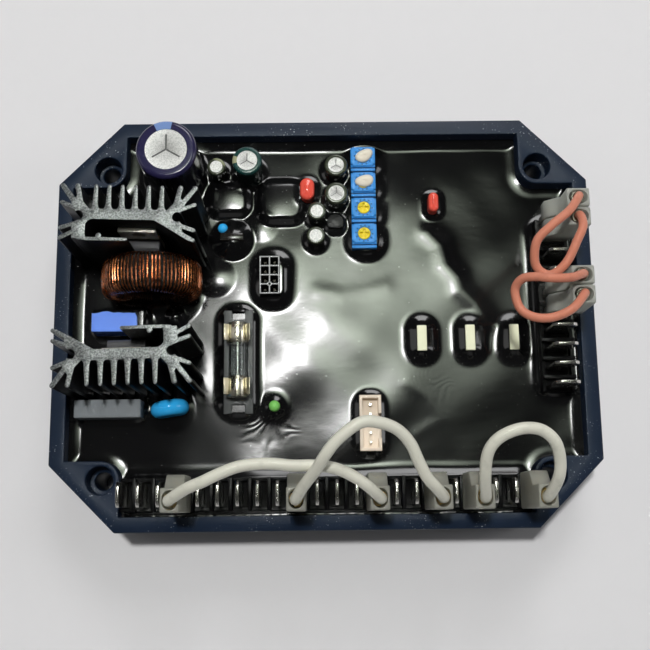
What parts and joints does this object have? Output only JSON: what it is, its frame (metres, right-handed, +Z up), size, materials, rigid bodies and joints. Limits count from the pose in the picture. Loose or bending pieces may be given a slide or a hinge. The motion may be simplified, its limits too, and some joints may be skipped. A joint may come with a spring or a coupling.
{
  "type": "automatic voltage regulator",
  "caption": "Potted generator voltage regulator: a cut-cornered tray of black resin with finned heatsinks, wound ring, fuse, trimmers and rows of blade terminals with jumper leads.",
  "frame": {"origin": "centre of the tray's underside, on the mounting face", "axes": "+X along the long blade row to the right, +Y towards the back, +Z up out of the tray"},
  "size_m": [0.145, 0.1116, 0.0614],
  "materials": {
    "case_blue": "satin moulded plastic",
    "board_green": "coated laminate",
    "resin_black": "glossy cast resin",
    "strip_black": "satin moulded plastic",
    "blade_tin": "bright tinned",
    "sleeve_clear": "milky translucent nylon",
    "receptacle_brass": "bright",
    "lead_white": "soft wire covering",
    "lead_pink": "soft wire covering",
    "heatsink_alu": "sawn, fine grain",
    "pin_tin": "tinned",
    "transistor_black": "moulded",
    "core_grey": "coated",
    "winding_copper": "enamelled copper",
    "fuse_base_grey": "moulded",
    "clip_brass": "bright plated",
    "fuse_glass": "clear",
    "cap_nickel": "bright plated",
    "can_alu": "satin",
    "film_indigo": "shrunk film",
    "film_green": "shrunk film",
    "film_dark": "shrunk film",
    "trimmer_blue": "moulded",
    "rotor_yellow": "moulded",
    "sealant_cream": "set compound",
    "header_black": "moulded",
    "socket_cream": "moulded",
    "dipped_red": "dipped",
    "box_pale": "moulded",
    "box_blue": "moulded",
    "box_grey": "moulded",
    "disc_blue": "dipped",
    "lamp_green": "tinted, translucent"
  },
  "bodies": {
    "regulator": {"case": "case_blue", "circuit_board": "board_green", "potting_resin": "resin_black", "front_terminal_strip": "strip_black", "front_blades": "blade_tin", "side_terminal_strip": "strip_black", "side_blades": "blade_tin", "front_sleeves": "sleeve_clear", "side_sleeves": "sleeve_clear", "front_receptacles": "receptacle_brass", "side_receptacles": "receptacle_brass", "white_lead_1": "lead_white", "white_lead_2": "lead_white", "white_lead_3": "lead_white", "pink_lead_1": "lead_pink", "pink_lead_2": "lead_pink", "rear_heatsink": "heatsink_alu", "front_heatsink": "heatsink_alu", "heatsink_pins": "pin_tin", "transistor_tabs": "pin_tin", "transistor_bodies": "transistor_black", "transistor_leads": "pin_tin", "ring_core": "core_grey", "ring_winding": "winding_copper", "fuse_base": "fuse_base_grey", "fuse_clips": "clip_brass", "fuse_glass": "fuse_glass", "fuse_caps": "cap_nickel", "fuse_wire": "pin_tin", "main_capacitor": "can_alu", "main_capacitor_film": "film_indigo", "medium_capacitor": "can_alu", "medium_capacitor_film": "film_green", "small_capacitors": "can_alu", "small_capacitor_films": "film_dark", "trimmer_bodies": "trimmer_blue", "sealed_rotors": "rotor_yellow", "rotor_sealant": "sealant_cream", "header_housing": "header_black", "header_contacts": "clip_brass", "socket_shroud": "socket_cream", "socket_pins": "pin_tin", "red_capacitors": "dipped_red", "pale_box_capacitors": "box_pale", "blue_box_capacitor": "box_blue", "grey_box_capacitor": "box_grey", "disc_capacitor": "disc_blue", "bead_capacitor": "disc_blue", "flat_part": "transistor_black", "small_transistor": "transistor_black", "indicator_lamp": "lamp_green", "lead_wires": "pin_tin"},
    "rotor_1": {"trimmer_rotor_1": "rotor_yellow"},
    "rotor_2": {"trimmer_rotor_2": "rotor_yellow"}
  },
  "joints": [
    {"name": "rotor_1_turn", "type": "hinge", "parent": "regulator", "child": "rotor_1", "pos_m": [0.0112, 0.03165, 0.0195], "axis": [0, 0, 1], "range_deg": [-130, 130]},
    {"name": "rotor_2_turn", "type": "hinge", "parent": "regulator", "child": "rotor_2", "pos_m": [0.0112, 0.02425, 0.0195], "axis": [0, 0, 1], "range_deg": [-130, 130]}
  ]
}
